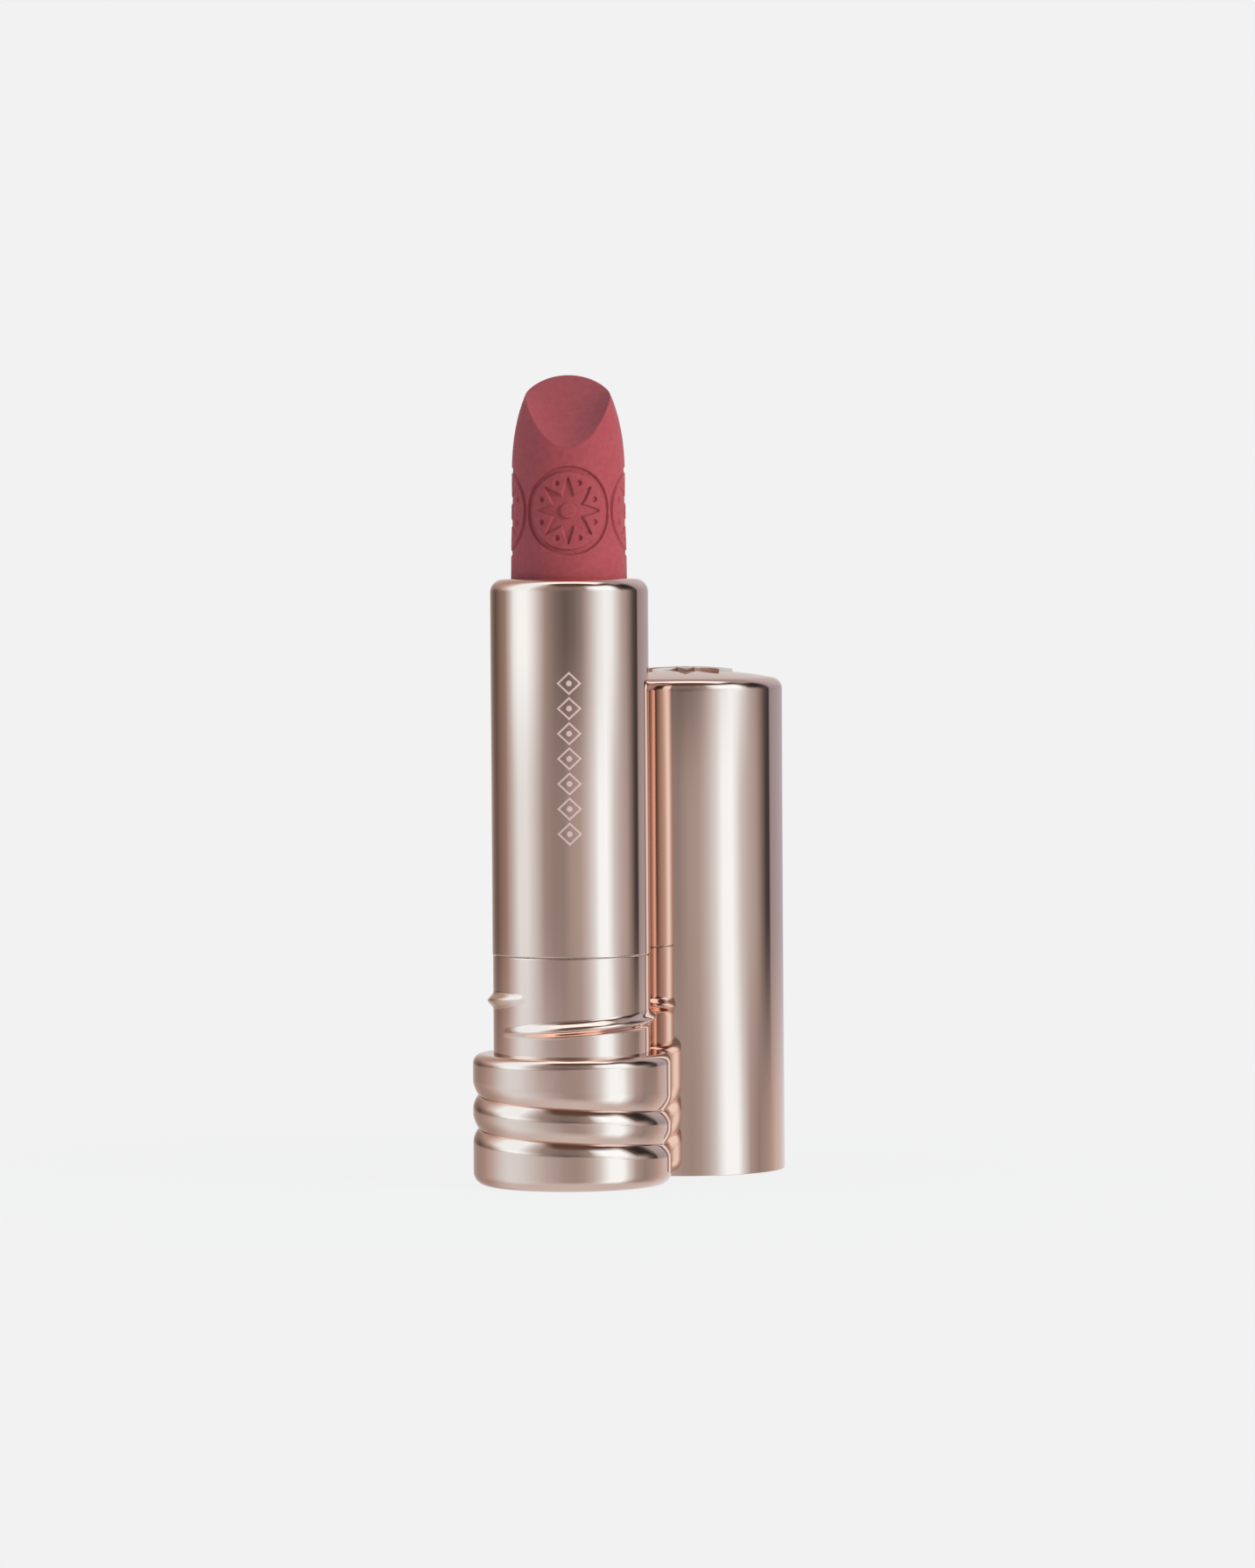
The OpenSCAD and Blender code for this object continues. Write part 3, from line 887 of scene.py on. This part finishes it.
PALE = 0.888
FLOOR_COLOUR = (0.95, 0.95, 0.95)
FLOOR_HALF = 6.0
SHADOW = 0.05
SHADOW_FROM, SHADOW_TO = 0.02, 0.10  # the floor's shading fades between these distances


def pale_floor():
    """Pale floor that fades into the background, so that no horizon shows."""
    half = FLOOR_HALF
    corners = [(-half, -half, 0), (half, -half, 0), (half, half, 0), (-half, half, 0)]
    mesh = bpy.data.meshes.new("floor")
    mesh.from_pydata(corners, [], [[0, 1, 2, 3]])
    floor = bpy.data.objects.new("floor", mesh)
    bpy.context.scene.collection.objects.link(floor)
    material = bpy.data.materials.new("floor")
    material.use_nodes = True
    tree = material.node_tree
    tree.nodes.clear()
    place = tree.nodes.new("ShaderNodeTexCoord")
    length = tree.nodes.new("ShaderNodeVectorMath")
    length.operation = "LENGTH"
    fade = tree.nodes.new("ShaderNodeMapRange")
    fade.interpolation_type = "SMOOTHSTEP"
    fade.inputs["From Min"].default_value = SHADOW_FROM
    fade.inputs["From Max"].default_value = SHADOW_TO
    fade.inputs["To Min"].default_value = 1 - SHADOW
    near = tree.nodes.new("ShaderNodeBsdfDiffuse")
    near.inputs["Color"].default_value = (*FLOOR_COLOUR, 1)
    far = tree.nodes.new("ShaderNodeEmission")
    far.inputs["Color"].default_value = (PALE, PALE, PALE, 1)
    mix = tree.nodes.new("ShaderNodeMixShader")
    output = tree.nodes.new("ShaderNodeOutputMaterial")
    tree.links.new(place.outputs["Object"], length.inputs[0])
    tree.links.new(length.outputs["Value"], fade.inputs["Value"])
    tree.links.new(fade.outputs["Result"], mix.inputs["Fac"])
    tree.links.new(near.outputs["BSDF"], mix.inputs[1])
    tree.links.new(far.outputs["Emission"], mix.inputs[2])
    tree.links.new(mix.outputs["Shader"], output.inputs["Surface"])
    mesh.materials.append(material)
    floor.visible_glossy = False


# The studio is a soft dome. Its brightness is given round the horizon, by azimuth in degrees from the
# front, -Y, towards +X: two soft strips, a dark gap in front and a dark flag at the right.

AT_THE_HORIZON = [
    (-180, 0.7), (-168, 0.48), (-160, 0.33), (-148, 0.2), (-136, 0.12), (-122, 0.24), (-108, 0.35),
    (-98, 0.58), (-88, 0.94), (-78, 1.04), (-66, 1.04), (-56, 0.88), (-44, 0.6), (-34, 0.36),
    (-20, 0.21), (-6, 0.14), (6, 0.18), (18, 0.29), (28, 0.52), (42, 0.84), (54, 1.0), (64, 0.96),
    (72, 0.76), (82, 0.53), (94, 0.36), (106, 0.11), (116, 0.045), (120, 0.34), (140, 0.42),
    (160, 0.46), (170, 0.66),
]
BELOW_IT = [
    (-180, 0.87), (-164, 0.45), (-148, 0.22), (-136, 0.14), (-122, 0.24), (-108, 0.34), (-94, 0.56),
    (-80, 0.83), (-66, 0.84), (-52, 0.64), (-38, 0.38), (-24, 0.31), (-10, 0.31), (2, 0.42),
    (14, 0.46), (24, 0.58), (36, 0.8), (43, 1.04), (55, 1.05), (68, 0.66), (78, 0.54), (92, 0.44),
    (100, 0.25), (109, 0.07), (116, 0.05), (120, 0.36), (140, 0.44), (160, 0.48), (170, 0.85),
]
ABOVE_IT = [
    (-180, 0.62), (-148, 0.42), (-126, 0.5), (-112, 0.74), (-98, 0.98), (-66, 0.98), (-50, 0.6),
    (-36, 0.33), (-12, 0.22), (8, 0.23), (24, 0.36), (33, 0.88), (42, 1.1), (70, 1.1), (78, 0.6),
    (84, 0.1), (95, 0.03), (110, 0.04), (117, 0.2), (121, 0.4), (140, 0.5), (165, 0.62),
]
BY_THE_FLOOR = [
    (-180, 0.7), (-156, 0.4), (-140, 0.36), (-124, 0.42), (-108, 0.54), (-90, 0.7), (-78, 0.76),
    (-62, 0.73), (-46, 0.63), (-30, 0.52), (-8, 0.4), (4, 0.37), (14, 0.42), (24, 0.53), (32, 0.66),
    (40, 0.9), (46, 1.04), (62, 1.04), (70, 0.72), (80, 0.43), (94, 0.31), (108, 0.39), (118, 0.5),
    (130, 0.62), (160, 0.76),
]

# Where one ring of colours gives way to the next, as heights on a dome with a radius of 1
TO_THE_HORIZON = (-0.032, -0.004)
TO_ABOVE = (0.03, 0.42)
TO_THE_FLOOR = (-0.048, -0.09)
TO_UNDERFOOT = (-0.45, -0.8)

# Tints round the dome, and the azimuths where they start
PLAIN = (1.0, 1.0, 1.0)
WARM = (1.0, 0.84, 0.76)
COOL = (1.0, 1.04, 1.18)
BEHIND = (1.0, 0.92, 0.88)
FLOOR_LEFT = (1.0, 0.9, 0.84)
FLOOR_RIGHT = (1.0, 0.82, 0.76)
UNDERFOOT = (0.62, 0.68, 0.71)
BEHIND_FROM = 162
LEFT_FROM = -100
RIGHT_FROM = 117.5

# A part brighter than the glow's level gains these shares of the rest in green and blue, and less behind
GLOW_LEVEL = 0.45
GLOW_GREEN = 0.7
GLOW_BLUE = 1.08
GLOW_BEHIND = 0.3

# The top of the dome, in parts of its radius: -Y is in front and +X at the right
HIGH_IN_FRONT = (0.12, 0.08, 0.062)
HIGH_BEHIND = (0.4, 0.4, 0.45)
HIGH_RISE = (0.62, 0.8)
HIGH_FROM_LEFT = (-0.45, -0.2)
FRONT_TO_BACK = (-0.05, 0.15)
TOP_LIGHT = (1.3, 1.5, 1.6)
TOP_LIGHT_X, TOP_LIGHT_Y = 0.03, -0.05
TOP_LIGHT_ALONG = (0.5, 0.36)
TOP_LIGHT_ACROSS = (0.22, 0.13)
TOP_LIGHT_RISE = (0.5, 0.7)
HEADROOM = 2.0  # the ramps hold colours from 0 to 1, so they are halved, and the dome doubled


def tint_at(azimuth, left, right):
    """Tint of the dome at an azimuth."""
    if abs(azimuth) > BEHIND_FROM:
        return BEHIND
    if azimuth < LEFT_FROM:
        return left
    if azimuth > RIGHT_FROM:
        return right
    return PLAIN


def dome_colour(azimuth, level, left, right):
    """Colour of the dome where it has a brightness: bright strips are cooler than the rest."""
    glow = level - GLOW_LEVEL
    glow = GLOW_BEHIND * glow if abs(azimuth) > BEHIND_FROM else max(0.0, glow)
    raw = (level, level + GLOW_GREEN * glow, level + GLOW_BLUE * glow)
    return (*(a * b / HEADROOM for a, b in zip(raw, tint_at(azimuth, left, right))), 1)


def dome_ring(tree, azimuth, stops, left=WARM, right=COOL):
    """Colour round the dome from a list of azimuths and levels, with its tints far left and far right."""
    node = tree.nodes.new("ShaderNodeValToRGB")
    elements = node.color_ramp.elements
    elements[1].position = 1.0
    elements[1].color = dome_colour(*stops[0], left, right)
    elements[0].color = dome_colour(*stops[0], left, right)
    for at, level in stops[1:]:
        element = elements.new(at / 360 + 0.5)
        element.color = dome_colour(at, level, left, right)
    tree.links.new(azimuth, node.inputs["Fac"])
    return node.outputs["Color"]


def ramp(tree, value, start, end):
    """0 to 1 as the value goes from start to end, smoothly."""
    node = tree.nodes.new("ShaderNodeMapRange")
    node.interpolation_type = "SMOOTHSTEP"
    node.inputs["From Min"].default_value = start
    node.inputs["From Max"].default_value = end
    tree.links.new(value, node.inputs["Value"])
    return node.outputs["Result"]


def blend(tree, share, first, second):
    """Mixes two colours, each a socket or a plain colour."""
    node = tree.nodes.new("ShaderNodeMix")
    node.data_type = "RGBA"
    tree.links.new(share, node.inputs["Factor"])
    for socket, colour in (("A", first), ("B", second)):
        if isinstance(colour, tuple):
            node.inputs[socket].default_value = (*(c / HEADROOM for c in colour), 1)
        else:
            tree.links.new(colour, node.inputs[socket])
    return node.outputs["Result"]


def calculate(tree, operation, *values):
    """Result of an operation on one or two values, each a socket or a number."""
    node = tree.nodes.new("ShaderNodeMath")
    node.operation = operation
    for i, value in enumerate(values):
        if isinstance(value, (int, float)):
            node.inputs[i].default_value = value
        else:
            tree.links.new(value, node.inputs[i])
    return node.outputs["Value"]


def distance_from(tree, value, middle):
    """How far a value is from a middle, either way."""
    return calculate(tree, "ABSOLUTE", calculate(tree, "SUBTRACT", value, middle))


def overhead(tree, x, y, up, colour):
    """Adds the top of the dome: dark in front, dim behind, with a narrow light across from left to right."""
    high = blend(tree, ramp(tree, y, *FRONT_TO_BACK), HIGH_IN_FRONT, HIGH_BEHIND)
    share = calculate(tree, "MULTIPLY", ramp(tree, up, *HIGH_RISE), ramp(tree, x, *HIGH_FROM_LEFT))
    colour = blend(tree, share, colour, high)
    along = ramp(tree, distance_from(tree, x, TOP_LIGHT_X), *TOP_LIGHT_ALONG)
    across = ramp(tree, distance_from(tree, y, TOP_LIGHT_Y), *TOP_LIGHT_ACROSS)
    lit = calculate(tree, "MULTIPLY", along, across)
    lit = calculate(tree, "MULTIPLY", lit, ramp(tree, up, *TOP_LIGHT_RISE))
    return blend(tree, lit, colour, TOP_LIGHT)


def dome(tree):
    """Colour of the studio dome in every direction."""
    place = tree.nodes.new("ShaderNodeTexCoord")
    parts = tree.nodes.new("ShaderNodeSeparateXYZ")
    tree.links.new(place.outputs["Generated"], parts.inputs["Vector"])
    x, y, up = (parts.outputs[axis] for axis in "XYZ")
    turn = calculate(tree, "ARCTAN2", x, calculate(tree, "MULTIPLY", y, -1))
    azimuth = tree.nodes.new("ShaderNodeMapRange")
    azimuth.inputs["From Min"].default_value = -math.pi
    azimuth.inputs["From Max"].default_value = math.pi
    tree.links.new(turn, azimuth.inputs["Value"])
    around = azimuth.outputs["Result"]
    colour = dome_ring(tree, around, BELOW_IT)
    horizon = dome_ring(tree, around, AT_THE_HORIZON)
    colour = blend(tree, ramp(tree, up, *TO_THE_HORIZON), colour, horizon)
    above = dome_ring(tree, around, ABOVE_IT)
    colour = blend(tree, ramp(tree, up, *TO_ABOVE), colour, above)
    floor_ring = dome_ring(tree, around, BY_THE_FLOOR, FLOOR_LEFT, FLOOR_RIGHT)
    colour = blend(tree, ramp(tree, up, *TO_THE_FLOOR), colour, floor_ring)
    colour = blend(tree, ramp(tree, up, *TO_UNDERFOOT), colour, UNDERFOOT)
    return overhead(tree, x, y, up, colour)


def world():
    """Even pale background for the eye, and the soft dome for light and reflections."""
    scene_world = bpy.data.worlds.new("studio")
    bpy.context.scene.world = scene_world
    scene_world.use_nodes = True
    tree = scene_world.node_tree
    tree.nodes.clear()
    path = tree.nodes.new("ShaderNodeLightPath")
    seen = tree.nodes.new("ShaderNodeBackground")
    seen.inputs["Color"].default_value = (PALE, PALE, PALE, 1)
    light = tree.nodes.new("ShaderNodeBackground")
    light.inputs["Strength"].default_value = HEADROOM
    tree.links.new(dome(tree), light.inputs["Color"])
    mix = tree.nodes.new("ShaderNodeMixShader")
    output = tree.nodes.new("ShaderNodeOutputWorld")
    tree.links.new(path.outputs["Is Camera Ray"], mix.inputs["Fac"])
    tree.links.new(light.outputs["Background"], mix.inputs[1])
    tree.links.new(seen.outputs["Background"], mix.inputs[2])
    tree.links.new(mix.outputs["Shader"], output.inputs["Surface"])


KEY_POWER = 3.6
KEY_SIZE = 0.3
KEY_PLACE = Vector((0.52, -0.33, 0.2))
KEY_AIM = Vector((0.0, 0.0, 0.06))


def key_light():
    """Soft light from the right, which the metal doesn't mirror."""
    data = bpy.data.lights.new("key", "AREA")
    data.size = KEY_SIZE
    data.energy = KEY_POWER
    obj = bpy.data.objects.new("key", data)
    obj.location = KEY_PLACE
    obj.rotation_mode = "QUATERNION"
    obj.rotation_quaternion = (KEY_AIM - KEY_PLACE).to_track_quat("-Z", "Y")
    obj.visible_glossy = False
    bpy.context.scene.collection.objects.link(obj)


CAMERA_DISTANCE = 0.629
CAMERA_HEIGHT = 0.0602
CAMERA_RIGHT = 0.00615
CAMERA_DOWN = math.radians(1.63)
CAMERA_ROLL = math.radians(0.35)
CAMERA_LENS = 136.7
CAMERA_SENSOR = 36.0
CAMERA_REACH = 50


def camera():
    """Camera at the level of the middle of the barrel, looking very slightly down."""
    data = bpy.data.cameras.new("camera")
    data.lens = CAMERA_LENS
    data.sensor_width = CAMERA_SENSOR
    data.clip_end = CAMERA_REACH
    obj = bpy.data.objects.new("camera", data)
    obj.location = (CAMERA_RIGHT, -CAMERA_DISTANCE, CAMERA_HEIGHT)
    obj.rotation_mode = "XYZ"
    obj.rotation_euler = (math.pi / 2 - CAMERA_DOWN, CAMERA_ROLL, 0)
    bpy.context.scene.collection.objects.link(obj)
    bpy.context.scene.camera = obj


camera()
world()
key_light()
pale_floor()
bpy.context.scene.view_settings.view_transform = "Standard"

paint_cad_nodes()
base_shell()
collar_shell()
barrel_shell()
barrel_print()
lip_bullet()
cap_shell()
cap_emblem()
